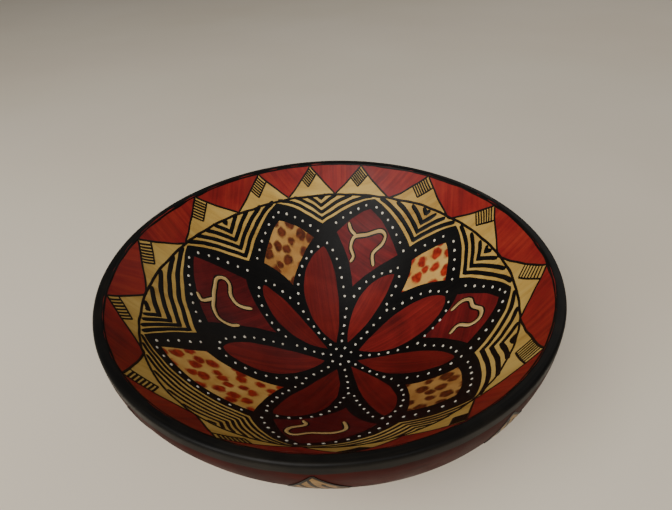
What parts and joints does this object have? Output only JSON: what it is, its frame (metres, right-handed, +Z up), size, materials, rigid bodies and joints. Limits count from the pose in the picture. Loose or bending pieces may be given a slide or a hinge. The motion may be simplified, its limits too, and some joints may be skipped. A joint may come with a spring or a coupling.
{
  "type": "painted wooden bowl",
  "caption": "Round hand-carved wooden bowl on a short foot, painted inside with a double flower, chevrons, a zigzag border and a black rim; holds fruit or stands on show.",
  "frame": {"origin": "centre of the flat foot, on the surface the bowl stands on", "axes": "+Z up through the middle of the bowl; -Y faces the viewer; the outside is a little fuller on the +X side"},
  "size_m": [0.3, 0.3, 0.117],
  "materials": {
    "carved_wood": "carved hardwood, sanded and oiled, bare under the foot",
    "cream_paint": "brushed cream ground paint under satin varnish",
    "black_paint": "black paint under satin varnish",
    "red_paint": "brushed earth-red paint with darker streaks, satin varnish",
    "spotted_paint": "cream paint dabbed with red-brown spots, satin varnish",
    "maroon_paint": "dark maroon paint, satin varnish",
    "white_paint": "raised dots of white paint"
  },
  "bodies": {
    "root": {"border_fields": "red_paint", "bowl_body": "carved_wood", "chevron_stripes": "black_paint", "circle_line": "black_paint", "ground_coat": "cream_paint", "hatch_marks": "black_paint", "outer_coat": "maroon_paint", "outer_patches": "cream_paint", "outline_dots": "white_paint", "petal_1": "red_paint", "petal_2": "red_paint", "petal_3": "red_paint", "petal_4": "red_paint", "petal_5": "red_paint", "petal_6": "red_paint", "petal_7": "red_paint", "petal_8": "red_paint", "petal_outlines": "black_paint", "red_cell_1": "red_paint", "red_cell_2": "red_paint", "red_cell_3": "red_paint", "red_cell_4": "red_paint", "rim_band": "black_paint", "spotted_cell_1": "spotted_paint", "spotted_cell_2": "spotted_paint", "spotted_cell_3": "spotted_paint", "spotted_cell_4": "spotted_paint", "squiggle_1": "cream_paint", "squiggle_2": "cream_paint", "squiggle_3": "cream_paint", "squiggle_4": "cream_paint"}
  },
  "joints": []
}
